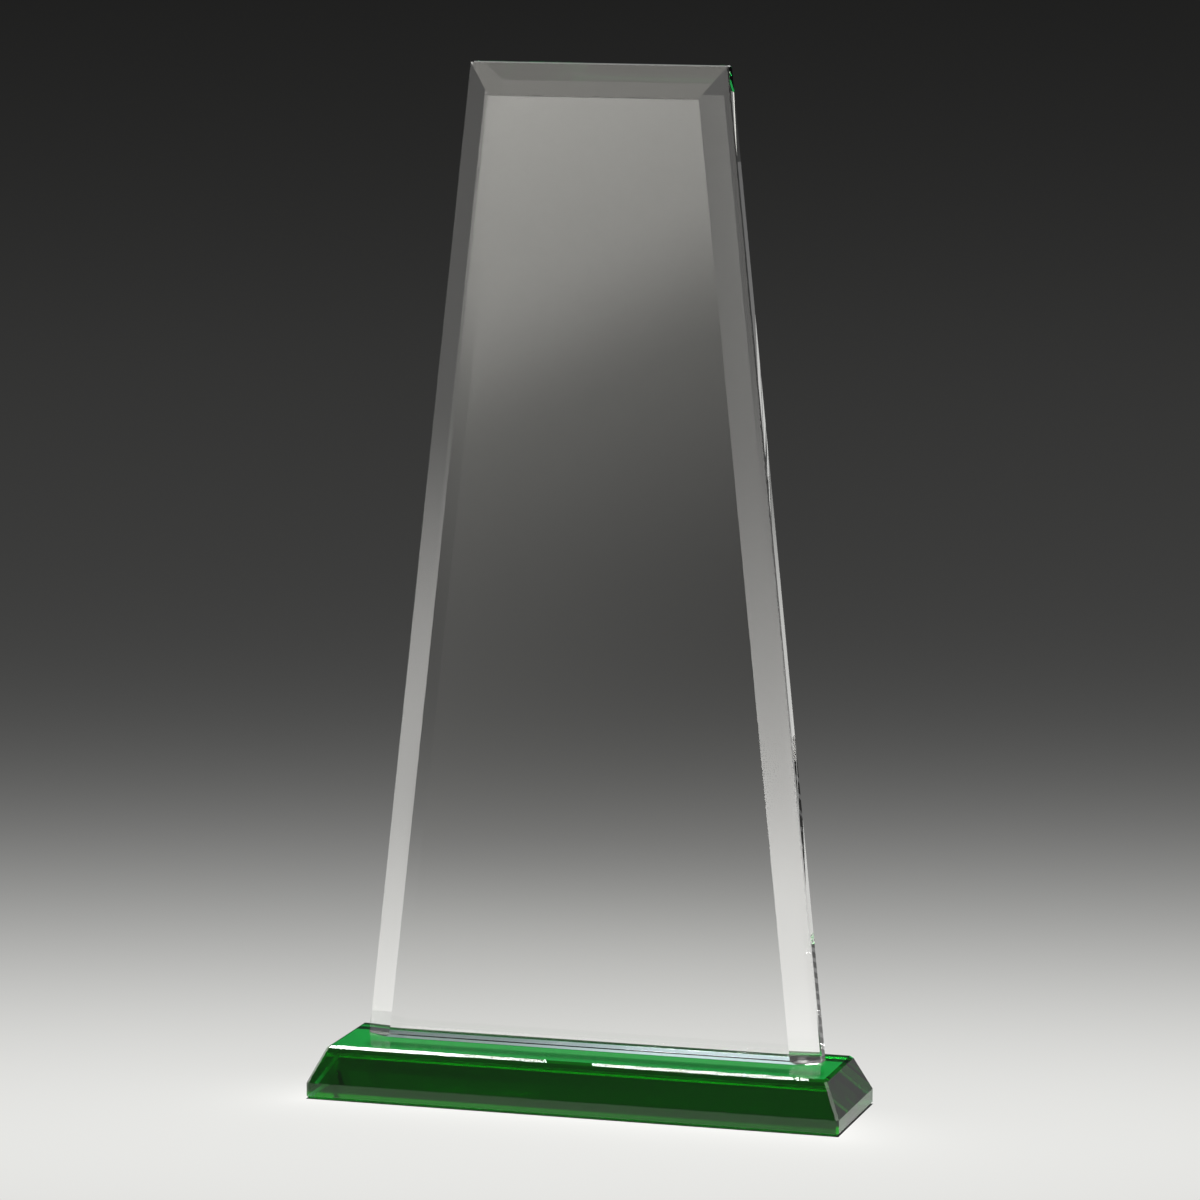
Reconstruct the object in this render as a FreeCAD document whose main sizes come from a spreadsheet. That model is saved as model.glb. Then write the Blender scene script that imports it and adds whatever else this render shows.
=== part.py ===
import FreeCAD, Part
import os
import Sketcher

# Tapered crystal award: a clear crystal plate, bevelled from its front, stands upright on a green crystal
# base and is bonded to it by a thin film of clear adhesive.
#
# Frame: millimetres, +Z up, origin at the centre of the base's underside. X runs along the base, and the
# plate's bevelled face looks towards -Y.

OUT_DIR = "parts"

# Driving dimensions.
SIZES = {
    "overall_height": 300,
    # Green base: a block whose sides rise as an upright lip and then slope in to a smaller flat top.
    "base_length": 159,
    "base_depth": 43,
    "base_height": 15,
    "lip_height": 4.6,
    "slope_inset": 5,
    "base_arris": 0.7,
    # Clear plate: a tall trapezium with a square foot. Its sides and head are bevelled from the front.
    "foot_width": 137,
    "head_width": 76,
    "plate_thickness": 10,
    "bevel_depth": 5.6,
    "side_bevel_width": 8,
    "head_bevel_width": 9.2,
    "plate_arris": 0.35,
    "foot_arris": 1,
    "plate_set_back": 3,
    # Adhesive film: under the flat of the plate's foot, less a margin all round.
    "film_thickness": 0.1,
    "film_margin": 0.2,
}

# What follows from the driving dimensions, as expressions.
PLATE_FRONT = "Sizes.plate_set_back - Sizes.plate_thickness / 2"
PLATE_BOTTOM = "Sizes.base_height + Sizes.film_thickness"
PLATE_HEIGHT = f"Sizes.overall_height - ({PLATE_BOTTOM})"
FILM_INSET = "2 * (Sizes.foot_arris + Sizes.film_margin)"

# Sketch axes and line ends, as Sketcher numbers them.
HORIZONTAL_AXIS, VERTICAL_AXIS = -1, -2
START, END = 1, 2


def make_sheet(doc):
    """The spreadsheet of driving dimensions, one cell each."""
    sheet = doc.addObject("Spreadsheet::Sheet", "Sizes")
    for row, (alias, value) in enumerate(SIZES.items(), start=1):
        sheet.set(f"A{row}", alias)
        sheet.set(f"B{row}", str(value))
        sheet.setAlias(f"B{row}", alias)
    doc.recompute()
    return sheet


def make_body(doc, name, y="0", z="0"):
    """An empty body that stands at the expressions y and z."""
    body = doc.addObject("PartDesign::Body", name)
    body.Label = name
    body.setExpression("Placement.Base.y", y)
    body.setExpression("Placement.Base.z", z)
    return body


def make_sketch(body, name, role):
    """An empty sketch on the body's own origin plane of that role."""
    sketch = body.newObject("Sketcher::SketchObject", name)
    plane = next(feature for feature in body.Origin.OriginFeatures if feature.Role == role)
    sketch.AttachmentSupport = [(plane, "")]
    sketch.MapMode = "FlatFace"
    return sketch


def close_outline(sketch, corners):
    """Draws lines from corner to corner and back to the first one, joined end to end."""
    count = len(corners)
    for i, corner in enumerate(corners):
        following = corners[(i + 1) % count]
        sketch.addGeometry(Part.LineSegment(FreeCAD.Vector(*corner), FreeCAD.Vector(*following)))
    for i in range(count):
        constrain(sketch, "Coincident", i, END, (i + 1) % count, START)


def constrain(sketch, *constraint):
    return sketch.addConstraint(Sketcher.Constraint(*constraint))


def drive(sketch, expression, *constraint):
    """Adds a dimension to the sketch and drives it by the expression."""
    index = constrain(sketch, *constraint)
    sketch.setExpression(f"Constraints[{index}]", expression)


def draw_rectangle(body, name, length, depth):
    """A level rectangle, centred on the body's Z axis."""
    sketch = make_sketch(body, name, "XY_Plane")
    front, right, back, left = range(4)
    close_outline(sketch, [(-70, -20), (70, -20), (70, 20), (-70, 20)])
    constrain(sketch, "Symmetric", front, START, front, END, VERTICAL_AXIS)
    constrain(sketch, "Symmetric", right, START, right, END, HORIZONTAL_AXIS)
    constrain(sketch, "Horizontal", back)
    constrain(sketch, "Vertical", left)
    drive(sketch, length, "DistanceX", front, START, front, END, 140)
    drive(sketch, depth, "DistanceY", right, START, right, END, 40)
    return sketch


def draw_trapezium(body, name, foot_width, head_width, height):
    """An upright trapezium that faces -Y, its foot centred on the body's origin."""
    sketch = make_sketch(body, name, "XZ_Plane")
    foot, right, head = range(3)
    close_outline(sketch, [(-60, 0), (60, 0), (30, 200), (-30, 200)])
    constrain(sketch, "Symmetric", foot, START, foot, END, VERTICAL_AXIS)
    constrain(sketch, "Symmetric", head, START, head, END, VERTICAL_AXIS)
    constrain(sketch, "PointOnObject", foot, START, HORIZONTAL_AXIS)
    drive(sketch, foot_width, "DistanceX", foot, START, foot, END, 120)
    drive(sketch, head_width, "DistanceX", head, END, head, START, 60)
    drive(sketch, height, "DistanceY", right, START, right, END, 200)
    return sketch


def pad(body, name, sketch, length, reverse=False):
    feature = body.newObject("PartDesign::Pad", name)
    feature.Profile = sketch
    feature.setExpression("Length", length)
    feature.Reversed = reverse
    return feature


def chamfer(body, name, base, is_cut, size, second_size=None):
    """Cuts back those edges of base for which is_cut(start, end) holds, evenly or by two distances."""
    body.Document.recompute()
    names = [
        f"Edge{number}"
        for number, edge in enumerate(base.Shape.Edges, start=1)
        if is_cut(edge.Vertexes[0].Point, edge.Vertexes[1].Point)
    ]
    feature = body.newObject("PartDesign::Chamfer", name)
    feature.Base = (base, names)
    feature.setExpression("Size", size)
    if second_size:
        feature.ChamferType = "Two distances"
        feature.setExpression("Size2", second_size)
    return feature


def near(value, target):
    return abs(value - target) < 1e-4


def make_base(doc, sheet):
    """Green crystal block, with every edge broken but those between the lip and the slopes."""
    body = make_body(doc, "green_crystal_base")
    outline = draw_rectangle(body, "base_outline", "Sizes.base_length", "Sizes.base_depth")
    block = pad(body, "block", outline, "Sizes.base_height")

    def around_top(start, end):
        return near(start.z, sheet.base_height) and near(end.z, sheet.base_height)

    def off_shoulder(start, end):
        return not (near(start.z, sheet.lip_height) and near(end.z, sheet.lip_height))

    rise = "Sizes.base_height - Sizes.lip_height"
    slopes = chamfer(body, "slopes", block, around_top, rise, "Sizes.slope_inset")
    chamfer(body, "base_arrises", slopes, off_shoulder, "Sizes.base_arris")
    return body


def make_plate(doc, sheet):
    """Clear crystal plate: bevelled sides and head, square foot, and its foot and rim edges broken."""
    body = make_body(doc, "clear_crystal_plate", PLATE_FRONT, PLATE_BOTTOM)
    outline = draw_trapezium(body, "plate_outline", "Sizes.foot_width", "Sizes.head_width", PLATE_HEIGHT)
    slab = pad(body, "slab", outline, "Sizes.plate_thickness", reverse=True)

    def along_foot(start, end):
        return near(start.z, 0) and near(end.z, 0) and near(start.y, end.y)

    def front_side(start, end):
        return near(start.y, 0) and near(end.y, 0) and not near(start.z, end.z)

    def front_head(start, end):
        return near(start.y, 0) and near(end.y, 0) and near(start.z, end.z) and start.z > sheet.foot_width

    def on_rim(start, end):
        behind_bevels = min(start.y, end.y) > sheet.bevel_depth - 1e-4
        return behind_bevels and max(start.z, end.z) > sheet.foot_width

    depth = "Sizes.bevel_depth"
    foot_arrises = chamfer(body, "foot_arrises", slab, along_foot, "Sizes.foot_arris")
    side_bevels = chamfer(body, "side_bevels", foot_arrises, front_side, depth, "Sizes.side_bevel_width")
    head_bevel = chamfer(body, "head_bevel", side_bevels, front_head, depth, "Sizes.head_bevel_width")
    chamfer(body, "rim_arrises", head_bevel, on_rim, "Sizes.plate_arris")
    return body


def make_film(doc):
    """Cured adhesive between the plate's foot and the base's top."""
    body = make_body(doc, "adhesive_film", "Sizes.plate_set_back", "Sizes.base_height")
    length = f"Sizes.foot_width - 2 * Sizes.side_bevel_width - {FILM_INSET}"
    depth = f"Sizes.plate_thickness - {FILM_INSET}"
    outline = draw_rectangle(body, "film_outline", length, depth)
    pad(body, "film", outline, "Sizes.film_thickness")
    return body


def check_document(doc):
    for item in doc.Objects:
        if {"Invalid", "Error"} & set(item.State):
            raise RuntimeError(f"{item.Label} failed: {item.State}")


def export(body):
    shape = body.Shape
    if shape.isNull() or not shape.isValid():
        raise RuntimeError(f"{body.Label} has no valid shape")
    shape.exportStep(os.path.join(OUT_DIR, f"{body.Label}.step"))
    print(body.Label, f"{shape.Volume:.1f} mm3", shape.BoundBox)


document = FreeCAD.newDocument("crystal_award")
sizes = make_sheet(document)
bodies = [make_base(document, sizes), make_film(document), make_plate(document, sizes)]
document.recompute()
check_document(document)
os.makedirs(OUT_DIR, exist_ok=True)
for part_body in bodies:
    export(part_body)
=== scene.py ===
import math

import bmesh
import bpy
from mathutils import Matrix, Vector


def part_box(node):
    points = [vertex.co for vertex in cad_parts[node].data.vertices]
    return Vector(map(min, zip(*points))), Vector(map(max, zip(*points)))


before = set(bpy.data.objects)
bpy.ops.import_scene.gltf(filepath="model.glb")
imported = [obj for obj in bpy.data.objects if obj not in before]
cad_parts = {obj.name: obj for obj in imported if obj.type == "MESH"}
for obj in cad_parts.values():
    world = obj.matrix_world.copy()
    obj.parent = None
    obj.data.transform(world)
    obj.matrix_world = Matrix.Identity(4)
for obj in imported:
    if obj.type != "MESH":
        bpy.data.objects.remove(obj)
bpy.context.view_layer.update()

PLATE = "clear_crystal_plate"
BASE = "green_crystal_base"
FILM = "adhesive_film"

# Camera: where it stands around the award, and what it looks at.
VIEW_AZIMUTH = math.radians(15.95)
VIEW_ELEVATION = math.radians(8.12)
VIEW_ROLL = math.radians(0.32)
VIEW_DISTANCE = 1.589
VIEW_TARGET = Vector((0.0024, 0.0, 0.147))
SENSOR_WIDTH = 36.0
LENS = 166.4
CLIP_END = 20

# Studio: a round sweep, pale under the award and dark far from it. Its pool of light is an ellipse that is
# wider across the camera's view than along it. The floor is a hair below the award, so that the base's
# underside stays a polished face.
FLOOR_GAP = 0.0001
SWEEP_RADIUS = 3.2
SWEEP_BEND = 0.4
SWEEP_HEIGHT = 1.6
SWEEP_BEND_STEPS = 16
SWEEP_TURNS = 128
POOL_STRETCH = 3.24
POOL_RADIUS = 0.6675
POOL_SHIFT = 0.06
POOL_FALL = 4.13
POOL_LIGHT = 0.752
FRONT_FADE = 0.385
FRONT_LIGHT = 0.33
FAR_LIGHT = 0.0589
FAR_FADE = 3.69
WALL_FADE = 10.0
PAPER_TINT = (1.0, 1.0, 0.975, 1)

# Floor close to the award: light thrown forward by the base, shade behind it and light under it, dimmer
# under the plate's foot.
THROW_LIGHT = 0.2
THROW_FADE = 0.015
BACK_SHADE = 0.94
BACK_SHADE_DEPTH = 0.045
BACK_SHADE_INSET = 0.012
UNDER_LIGHT = 0.68
UNDER_RIM = 0.0012
FOOT_SHADE = 0.5
FOOT_SHADE_DEPTH = 0.6
FOOT_BLUR = 0.0018
RIM_LIGHT = 0.03
END_LIGHT = 0.05
ON_EDGE = 1e-6

# Panels around the award. The overhead ones are given by their ends along X and their light, and leave a gap
# between them, so that the white line on the base has one. The others are given by centre, facing, width and
# height. The front card's centre is on the floor, so its own Y is also the height above the floor.
OVERHEADS = (("overhead_left", -0.55, -0.357, 30.0), ("overhead_right", -0.333, -0.12, 36.0))
OVERHEAD_PLACE = (0.235, 1.2)
OVERHEAD_DEPTH = 0.27
UPPER_CARD = ((-0.17, -0.35, 0.78), (0.17, 0.35, -0.49), 0.4, 0.3)
RIGHT_BACK_PANEL = ((1.1, 2.6, 0.25), (-0.4, -1, 0), 0.9, 0.5)
BACK_PANEL = ((-0.6, 2.7, 0.9), (0, -1, 0), 4.0, 1.3)
FRONT_CARD = ((-0.11, -0.385, 0.0), (0, 1, 0), 0.6, 0.54)
LEFT_CARD = ((-0.22, -0.02, 0.21), (1, 0, 0), 0.3, 0.42)
RIGHT_CARD = ((0.19, -0.1, 0.21), (-0.8, 0.6, 0), 0.3, 0.42)
NEUTRAL = (1.0, 1.0, 1.0)
COOL = (0.78, 0.96, 1.0)
CREAM = (1.0, 0.985, 0.95)
WARM_CREAM = (1.0, 0.985, 0.93)
WARM = (1.0, 0.97, 0.88)
UPPER_LIGHT = 2.1
RIGHT_BACK_LIGHT = 0.3
BACK_BAND_LIGHT = 0.55
ROOM_LIGHT = 0.15
LIGHT_BOUNCES = 24

# Crystal and adhesive.
CRYSTAL_IOR = 1.517
ADHESIVE_IOR = 1.48
SWELL_SCALE = 22.0
SWELL_DETAIL = 1.0
TINT_SPREAD = 0.008
RIPPLE_STRETCH = (25.0, 1400.0, 1400.0)
RIPPLE_DETAIL = 2.0
RIPPLE_DEPTH = 2e-6
STREAK_STRETCH = (30.0, 900.0, 1.0)
STREAK_DETAIL = 3.0
STREAK_ROUGHNESS = 0.3
STREAK_DARK = (0.86, 0.9, 0.88)
STREAK_CLEAR = (0.97, 0.99, 0.98)
PLATE_TINT = (0.987, 0.987, 0.982)
BASE_TINT = (0.985, 0.985, 0.985)
BASE_ABSORPTION = ((0.0, 0.95, 0.475), 200.0)
POLISHED_EDGE = 0.02
GROUND_LIP = 0.1
GROUND_EDGE = 0.55
# Painted shade: the tones that darken the back half of each crystal's foot edge. The plate's is barely darker
# than its tint, and the base's is nearly black.
PLATE_EDGE_SHADE = 0.98
BASE_EDGE_SHADE = 0.1

# Edges. FOOT_ARRIS is a height above the plate's foot, and the last two and ABOVE_FACE are heights above the
# base's underside. BAND_EDGE is how softly a band starts and ends.
BAND_EDGE = 0.00004
ABOVE_FACE = 0.00001
FOOT_ARRIS = 0.00098
BASE_ARRIS = 0.0007
LIP_TOP = 0.0046


def make_camera():
    """A long lens, a little above the award and to the right of its front."""
    back = Vector(
        (
            math.sin(VIEW_AZIMUTH) * math.cos(VIEW_ELEVATION),
            -math.cos(VIEW_AZIMUTH) * math.cos(VIEW_ELEVATION),
            math.sin(VIEW_ELEVATION),
        )
    )
    right = (-back).cross(Vector((0, 0, 1))).normalized()
    up = right.cross(-back)
    turn = Matrix((right, up, back)).transposed() @ Matrix.Rotation(VIEW_ROLL, 3, "Z")
    data = bpy.data.cameras.new("camera")
    data.sensor_width = SENSOR_WIDTH
    data.lens = LENS
    data.clip_end = CLIP_END
    camera = bpy.data.objects.new("camera", data)
    camera.matrix_world = Matrix.Translation(VIEW_TARGET + back * VIEW_DISTANCE) @ turn.to_4x4()
    bpy.context.scene.collection.objects.link(camera)
    bpy.context.scene.camera = camera


class Nodes:
    """A short way to write one material's node tree."""

    def __init__(self, name):
        self.material = bpy.data.materials.new(name)
        self.material.use_nodes = True
        self.tree = self.material.node_tree
        self.tree.nodes.clear()
        self.output = self.add("ShaderNodeOutputMaterial")

    def add(self, kind, **settings):
        """Adds a node with the given settings."""
        node = self.tree.nodes.new(kind)
        for name, value in settings.items():
            setattr(node, name, value)
        return node

    def feed(self, socket, value):
        """Sets a socket to a plain value, or links an output to it."""
        if isinstance(value, bpy.types.NodeSocket):
            self.tree.links.new(value, socket)
        else:
            socket.default_value = value

    def math(self, operation, *values):
        """Adds a math node on plain values or outputs, and returns its output."""
        node = self.add("ShaderNodeMath", operation=operation)
        for socket, value in zip(node.inputs, values):
            self.feed(socket, value)
        return node.outputs[0]


def smooth_step(n, value, start, end, low, high):
    """Goes smoothly from low to high as value goes from start to end."""
    ramp = n.add("ShaderNodeMapRange", interpolation_type="SMOOTHSTEP")
    n.feed(ramp.inputs["Value"], value)
    for name, number in (("From Min", start), ("From Max", end), ("To Min", low), ("To Max", high)):
        ramp.inputs[name].default_value = number
    return ramp.outputs["Result"]


def height_band(n, height, low, high):
    """One between two heights and zero outside them."""
    above = smooth_step(n, height, low, low + BAND_EDGE, 0.0, 1.0)
    below = smooth_step(n, height, high - BAND_EDGE, high, 1.0, 0.0)
    return n.math("MULTIPLY", above, below)


def stretched_noise(n, place, scale, detail):
    """Noise drawn out along X."""
    stretch = n.add("ShaderNodeMapping")
    n.feed(stretch.inputs["Vector"], place)
    stretch.inputs["Scale"].default_value = scale
    noise = n.add("ShaderNodeTexNoise")
    n.feed(noise.inputs["Vector"], stretch.outputs[0])
    noise.inputs["Scale"].default_value = 1.0
    noise.inputs["Detail"].default_value = detail
    return noise.outputs[0]


def clear_surface(n, colour, roughness, ior):
    """A see-through shader on the material's surface."""
    surface = n.add("ShaderNodeBsdfPrincipled")
    n.feed(surface.inputs["Base Color"], colour)
    n.feed(surface.inputs["Roughness"], roughness)
    surface.inputs["IOR"].default_value = ior
    surface.inputs["Transmission Weight"].default_value = 1.0
    n.feed(n.output.inputs["Surface"], surface.outputs[0])
    return surface


def link(obj):
    """Puts an object in the scene."""
    bpy.context.scene.collection.objects.link(obj)
    return obj


def sweep_profile():
    """Half section of the sweep, from the centre of its floor to the top of its wall."""
    points = [(0.0, 0.0)]
    for i in range(SWEEP_BEND_STEPS + 1):
        angle = math.pi / 2 * i / SWEEP_BEND_STEPS
        points.append(
            (
                SWEEP_RADIUS - SWEEP_BEND + SWEEP_BEND * math.sin(angle),
                SWEEP_BEND - SWEEP_BEND * math.cos(angle),
            )
        )
    points.append((SWEEP_RADIUS, SWEEP_HEIGHT))
    return points


def make_sweep():
    """Floor and wall in one surface turned about the award's axis."""
    mesh = bmesh.new()
    profile = sweep_profile()
    rings = []
    for i in range(SWEEP_TURNS):
        angle = 2 * math.pi * i / SWEEP_TURNS
        rings.append(
            [mesh.verts.new((r * math.cos(angle), r * math.sin(angle), z)) for r, z in profile[1:]]
        )
    centre = mesh.verts.new((0, 0, 0))
    for i in range(SWEEP_TURNS):
        here, there = rings[i], rings[(i + 1) % SWEEP_TURNS]
        mesh.faces.new((centre, here[0], there[0]))
        for a, b, c, d in zip(here, here[1:], there[1:], there):
            mesh.faces.new((a, b, c, d))
    data = bpy.data.meshes.new("sweep")
    mesh.to_mesh(data)
    mesh.free()
    for face in data.polygons:
        face.use_smooth = True
    sweep = link(bpy.data.objects.new("sweep", data))
    sweep.location.z = -FLOOR_GAP
    data.materials.append(sweep_material())


def sweep_material():
    """Paper that lights itself, less brightly away from the award, with the award's own shade painted on."""
    n = Nodes("sweep_paper")
    place = n.add("ShaderNodeTexCoord").outputs["Object"]
    turned = n.add("ShaderNodeVectorRotate", rotation_type="Z_AXIS")
    n.feed(turned.inputs["Vector"], place)
    turned.inputs["Angle"].default_value = -VIEW_AZIMUTH
    split = n.add("ShaderNodeSeparateXYZ")
    n.feed(split.inputs[0], turned.outputs[0])
    across = n.math("POWER", n.math("DIVIDE", split.outputs["X"], POOL_STRETCH), 2.0)
    along = n.math("POWER", n.math("ADD", split.outputs["Y"], POOL_SHIFT), 2.0)
    spread = n.math("ADD", n.math("DIVIDE", n.math("ADD", across, along), POOL_RADIUS**2), 1.0)
    pool = n.math("MULTIPLY", n.math("POWER", spread, -POOL_FALL), POOL_LIGHT)
    reach = n.math("SQRT", n.math("ADD", across, n.math("POWER", split.outputs["Y"], 2.0)))
    arc = n.math("ADD", reach, n.math("MULTIPLY", split.outputs["Z"], WALL_FADE))
    far = n.math("MULTIPLY", n.math("EXPONENT", n.math("DIVIDE", arc, -FAR_FADE)), FAR_LIGHT)

    near = n.add("ShaderNodeSeparateXYZ")
    n.feed(near.inputs[0], place)
    side = n.math("ABSOLUTE", near.outputs["X"])
    depth = n.math("ABSOLUTE", near.outputs["Y"])
    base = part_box(BASE)[1]
    out_x = n.math("MAXIMUM", n.math("SUBTRACT", side, base.x), 0.0)
    out_y = n.math("MAXIMUM", n.math("SUBTRACT", depth, base.y), 0.0)
    gap = n.math("SQRT", n.math("ADD", n.math("POWER", out_x, 2.0), n.math("POWER", out_y, 2.0)))
    thrown = n.math("MULTIPLY", n.math("EXPONENT", n.math("DIVIDE", gap, -THROW_FADE)), THROW_LIGHT)
    in_front = smooth_step(n, near.outputs["Y"], -base.y, base.y, 1.0, 0.0)
    behind = smooth_step(n, near.outputs["Y"], base.y - UNDER_RIM, base.y, 0.0, BACK_SHADE)
    sheared = n.math("ADD", near.outputs["X"], n.math("MULTIPLY", out_y, math.tan(VIEW_AZIMUTH)))
    within = n.math(
        "MULTIPLY",
        smooth_step(n, sheared, -base.x - UNDER_RIM, -base.x, 0.0, 1.0),
        smooth_step(n, sheared, base.x - BACK_SHADE_INSET, base.x - BACK_SHADE_INSET / 3, 1.0, 0.0),
    )
    fading = smooth_step(n, out_y, BACK_SHADE_DEPTH / 2, BACK_SHADE_DEPTH, 1.0, 0.0)
    shade = n.math("MULTIPLY", n.math("MULTIPLY", behind, within), fading)
    close = n.math("SUBTRACT", n.math("ADD", n.math("MULTIPLY", thrown, in_front), 1.0), shade)
    forward = smooth_step(n, near.outputs["Y"], -FRONT_FADE, -FRONT_FADE / 2, FRONT_LIGHT, 1.0)
    open_floor = n.math("MULTIPLY", n.math("MULTIPLY", n.math("ADD", pool, far), close), forward)

    foot_low, foot_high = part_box(PLATE)
    half = (foot_high.y - foot_low.y) / 2 * FOOT_SHADE_DEPTH
    off_y = n.math("ABSOLUTE", n.math("SUBTRACT", near.outputs["Y"], (foot_low.y + foot_high.y) / 2))
    foot_x = smooth_step(n, side, foot_high.x - FOOT_BLUR, foot_high.x + FOOT_BLUR, 1.0, 0.0)
    foot_y = smooth_step(n, off_y, half - FOOT_BLUR, half + FOOT_BLUR, 1.0, 0.0)
    foot = n.math("SUBTRACT", 1.0, n.math("MULTIPLY", n.math("MULTIPLY", foot_x, foot_y), FOOT_SHADE))
    rim = smooth_step(n, depth, base.y - 2 * UNDER_RIM, base.y - UNDER_RIM, UNDER_LIGHT, RIM_LIGHT)
    ends = smooth_step(n, side, base.x - 2 * UNDER_RIM, base.x - UNDER_RIM, 1.0, END_LIGHT)
    under = n.math("MULTIPLY", n.math("MULTIPLY", foot, ends), rim)

    is_open = n.math("GREATER_THAN", gap, ON_EDGE)
    light = n.add("ShaderNodeMix")
    n.feed(light.inputs[0], is_open)
    n.feed(light.inputs[2], under)
    n.feed(light.inputs[3], open_floor)
    glow = n.add("ShaderNodeEmission")
    glow.inputs["Color"].default_value = PAPER_TINT
    n.feed(glow.inputs["Strength"], light.outputs[0])
    n.feed(n.output.inputs["Surface"], glow.outputs[0])
    return n.material


def make_panel(name, centre, facing, width, height):
    """A flat panel that faces along facing. It lights the award and is mirrored in it, but isn't seen."""
    data = bpy.data.meshes.new(name)
    mesh = bmesh.new()
    w, h = width / 2, height / 2
    corners = [mesh.verts.new(p) for p in ((-w, -h, 0), (w, -h, 0), (w, h, 0), (-w, h, 0))]
    mesh.faces.new(corners)
    mesh.to_mesh(data)
    mesh.free()
    panel = link(bpy.data.objects.new(name, data))
    turn = Vector(facing).to_track_quat("Z", "Y").to_matrix()
    panel.matrix_world = Matrix.Translation(centre) @ turn.to_4x4()
    panel.visible_camera = False
    return panel


def glow_material(name, tint, make_strength):
    """Even or graded light; make_strength gets the nodes and the panel's own X and Y."""
    n = Nodes(name)
    split = n.add("ShaderNodeSeparateXYZ")
    n.feed(split.inputs[0], n.add("ShaderNodeTexCoord").outputs["Object"])
    glow = n.add("ShaderNodeEmission")
    glow.inputs["Color"].default_value = (*tint, 1)
    n.feed(glow.inputs["Strength"], make_strength(n, split.outputs["X"], split.outputs["Y"]))
    n.feed(n.output.inputs["Surface"], glow.outputs[0])
    return n.material


def even_light(light):
    """The same light all over a panel."""
    return lambda n, x, y: light


# Each of these gets a panel's own X and Y, in metres from its centre, and returns its light there. The
# numbers in them are places on the panel and the light at each.
def back_light(n, x, y):
    """A band that is bright in the middle and at the far left and faint between, over a dusk that dims at the
    foot and high on the left."""
    ahead_left = smooth_step(n, x, -0.32, -0.1, 0.0, 1.0)
    ahead_right = smooth_step(n, x, 0.15, 0.4, 1.0, 0.0)
    far_left = smooth_step(n, x, -1.1, -0.8, 1.0, 0.0)
    bright = n.math("ADD", n.math("MULTIPLY", ahead_left, ahead_right), far_left)
    faint = smooth_step(n, x, 0.15, 0.4, 0.25, 0.0)
    level = n.math("ADD", n.math("MULTIPLY", bright, BACK_BAND_LIGHT), faint)
    above = smooth_step(n, y, -0.18, -0.12, 0.0, 1.0)
    below = smooth_step(n, y, 0.25, 0.32, 1.0, 0.0)
    band = n.math("MULTIPLY", level, n.math("MULTIPLY", above, below))
    high = smooth_step(n, y, 0.32, 0.42, 0.0, 0.55)
    dim = n.math("MULTIPLY", high, smooth_step(n, x, -0.45, -0.1, 1.0, 0.1))
    dusk = n.math("MULTIPLY", smooth_step(n, y, -0.6, -0.35, 0.012, 0.045), n.math("SUBTRACT", 1.0, dim))
    return n.math("ADD", band, dusk)


def front_light(n, x, y):
    """Dark up to a slanting edge and bright above it, with a faint glow along the floor."""
    slide = n.math("ADD", x, smooth_step(n, x, -0.095, -0.065, 0.14, 0.0))
    rise = n.math("MAXIMUM", n.math("ADD", y, n.math("MULTIPLY", slide, 0.48)), 0.0)
    tail = n.math("POWER", n.math("DIVIDE", rise, 0.165), 2.0)
    edge = smooth_step(n, rise, 0.162, 0.222, 0.0, 1.03)
    side = smooth_step(n, x, 0.06, 0.14, 1.0, 0.28)
    sill = smooth_step(n, y, 0.0, 0.12, 0.12, 0.0)
    return n.math("ADD", n.math("MULTIPLY", n.math("ADD", tail, edge), side), sill)


def left_light(n, x, y):
    """Brighter below than above, and dimmer again at the foot."""
    upper = smooth_step(n, y, -0.105, -0.01, 3.5, 0.85)
    return n.math("MULTIPLY", upper, smooth_step(n, y, -0.15, -0.11, 0.75, 1.0))


def right_light(n, x, y):
    """Brighter below than above, and dimmer again at the foot."""
    upper = smooth_step(n, y, -0.15, 0.03, 6.4, 1.6)
    return n.math("MULTIPLY", upper, smooth_step(n, y, -0.19, -0.15, 0.6, 1.0))


def make_lights():
    """Glowing panels around the award, and faint light from the rest of the room."""
    middle, height = OVERHEAD_PLACE
    for name, start, end, light in OVERHEADS:
        place = ((start + end) / 2, middle, height)
        panel = make_panel(name, place, (0, 0, -1), end - start, OVERHEAD_DEPTH)
        panel.data.materials.append(glow_material(name, NEUTRAL, even_light(light)))
    for name, shape, tint, light, mirrored_only in (
        ("upper_card", UPPER_CARD, WARM, even_light(UPPER_LIGHT), False),
        ("right_back_panel", RIGHT_BACK_PANEL, NEUTRAL, even_light(RIGHT_BACK_LIGHT), False),
        ("back_panel", BACK_PANEL, COOL, back_light, False),
        ("front_card", FRONT_CARD, WARM_CREAM, front_light, False),
        ("left_card", LEFT_CARD, CREAM, left_light, True),
        ("right_card", RIGHT_CARD, CREAM, right_light, True),
    ):
        panel = make_panel(name, *shape)
        panel.visible_transmission = not mirrored_only
        panel.visible_diffuse = not mirrored_only
        panel.data.materials.append(glow_material(name, tint, light))
    world = bpy.data.worlds.new("studio")
    bpy.context.scene.world = world
    world.use_nodes = True
    background = world.node_tree.nodes["Background"]
    background.inputs["Color"].default_value = (ROOM_LIGHT, ROOM_LIGHT, ROOM_LIGHT, 1)


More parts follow.
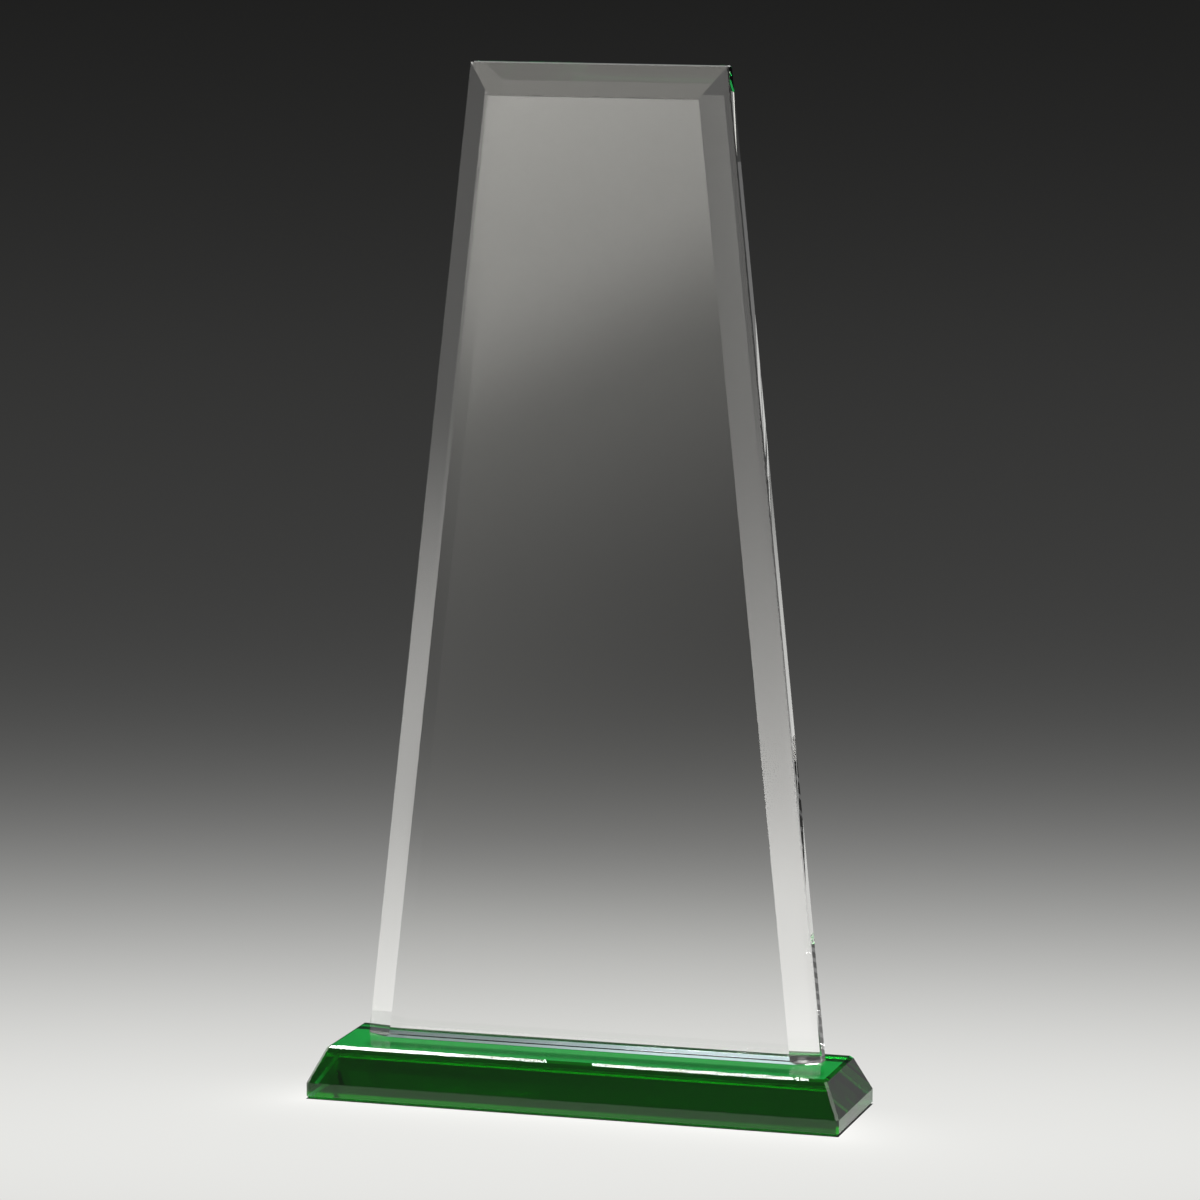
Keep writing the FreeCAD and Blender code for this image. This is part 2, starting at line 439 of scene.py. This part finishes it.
def crystal_material(name, colour, ripple_depth, foot_edge, rough_bands):
    """Polished optical crystal, a little uneven in tint. Its foot edge, given as two heights and a tone, is
    rippled along X and darkened to that tone at the back, a painted shade, and each rough band, given as two
    heights and a roughness, is ground."""
    n = Nodes(name)
    place = n.add("ShaderNodeTexCoord").outputs["Object"]
    split = n.add("ShaderNodeSeparateXYZ")
    n.feed(split.inputs[0], place)
    height = split.outputs["Z"]
    low, high, shade_tone = foot_edge
    edge = height_band(n, height, low, high)

    swell = n.add("ShaderNodeTexNoise")
    n.feed(swell.inputs["Vector"], place)
    swell.inputs["Scale"].default_value = SWELL_SCALE
    swell.inputs["Detail"].default_value = SWELL_DETAIL
    tint = n.add("ShaderNodeMix", data_type="RGBA")
    n.feed(tint.inputs[0], swell.outputs[0])
    tint.inputs[6].default_value = (*colour, 1)
    tint.inputs[7].default_value = (*(min(1.0, c + TINT_SPREAD) for c in colour), 1)
    # Painted shade: the back half (Y above zero) of the foot edge is darkened to the given tone.
    back_edge_shade = n.add("ShaderNodeMix", data_type="RGBA")
    n.feed(back_edge_shade.inputs[0], n.math("MULTIPLY", edge, n.math("GREATER_THAN", split.outputs["Y"], 0.0)))
    n.feed(back_edge_shade.inputs[6], tint.outputs[2])
    back_edge_shade.inputs[7].default_value = (shade_tone, shade_tone, shade_tone, 1)

    roughness = 0.0
    for low, high, amount in rough_bands:
        roughness = n.math("ADD", n.math("MULTIPLY", height_band(n, height, low, high), amount), roughness)
    surface = clear_surface(n, back_edge_shade.outputs[2], roughness, CRYSTAL_IOR)
    if ripple_depth:
        ripple = stretched_noise(n, place, RIPPLE_STRETCH, RIPPLE_DETAIL)
        bump = n.add("ShaderNodeBump")
        bump.inputs["Distance"].default_value = ripple_depth
        n.feed(bump.inputs["Height"], n.math("MULTIPLY", ripple, edge))
        n.feed(surface.inputs["Normal"], bump.outputs[0])
    return n


def absorb(n, colour, density):
    """Colours the crystal by the depth that light passes through."""
    volume = n.add("ShaderNodeVolumeAbsorption")
    volume.inputs["Color"].default_value = (*colour, 1)
    volume.inputs["Density"].default_value = density
    n.feed(n.output.inputs["Volume"], volume.outputs[0])


def adhesive_material():
    """Cured clear adhesive with drawn-out streaks."""
    n = Nodes("clear_adhesive")
    place = n.add("ShaderNodeTexCoord").outputs["Object"]
    streak = stretched_noise(n, place, STREAK_STRETCH, STREAK_DETAIL)
    tint = n.add("ShaderNodeMix", data_type="RGBA")
    n.feed(tint.inputs[0], streak)
    tint.inputs[6].default_value = (*STREAK_DARK, 1)
    tint.inputs[7].default_value = (*STREAK_CLEAR, 1)
    clear_surface(n, tint.outputs[2], n.math("MULTIPLY", streak, STREAK_ROUGHNESS), ADHESIVE_IOR)
    return n.material


def dress(node, material):
    """Gives a CAD node one material in place of its own."""
    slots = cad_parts[node].data.materials
    slots.clear()
    slots.append(material)


def make_materials():
    """Dresses the three CAD nodes."""
    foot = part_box(PLATE)[0].z
    foot_band = (foot, foot + FOOT_ARRIS)
    plate = crystal_material(
        "clear_crystal", PLATE_TINT, RIPPLE_DEPTH, (*foot_band, PLATE_EDGE_SHADE), [(*foot_band, POLISHED_EDGE)]
    )
    dress(PLATE, plate.material)
    base = crystal_material(
        "green_crystal",
        BASE_TINT,
        0.0,
        (ABOVE_FACE, BASE_ARRIS, BASE_EDGE_SHADE),
        [(ABOVE_FACE, BASE_ARRIS, GROUND_EDGE), (BASE_ARRIS, LIP_TOP, GROUND_LIP)],
    )
    absorb(base, *BASE_ABSORPTION)
    dress(BASE, base.material)
    dress(FILM, adhesive_material())


make_camera()
make_sweep()
make_lights()
make_materials()

scene = bpy.context.scene
scene.view_settings.view_transform = "Standard"
scene.cycles.max_bounces = LIGHT_BOUNCES
scene.cycles.transmission_bounces = LIGHT_BOUNCES
scene.cycles.glossy_bounces = LIGHT_BOUNCES
scene.cycles.sample_clamp_indirect = 0.0
scene.cycles.caustics_refractive = True
scene.cycles.caustics_reflective = True
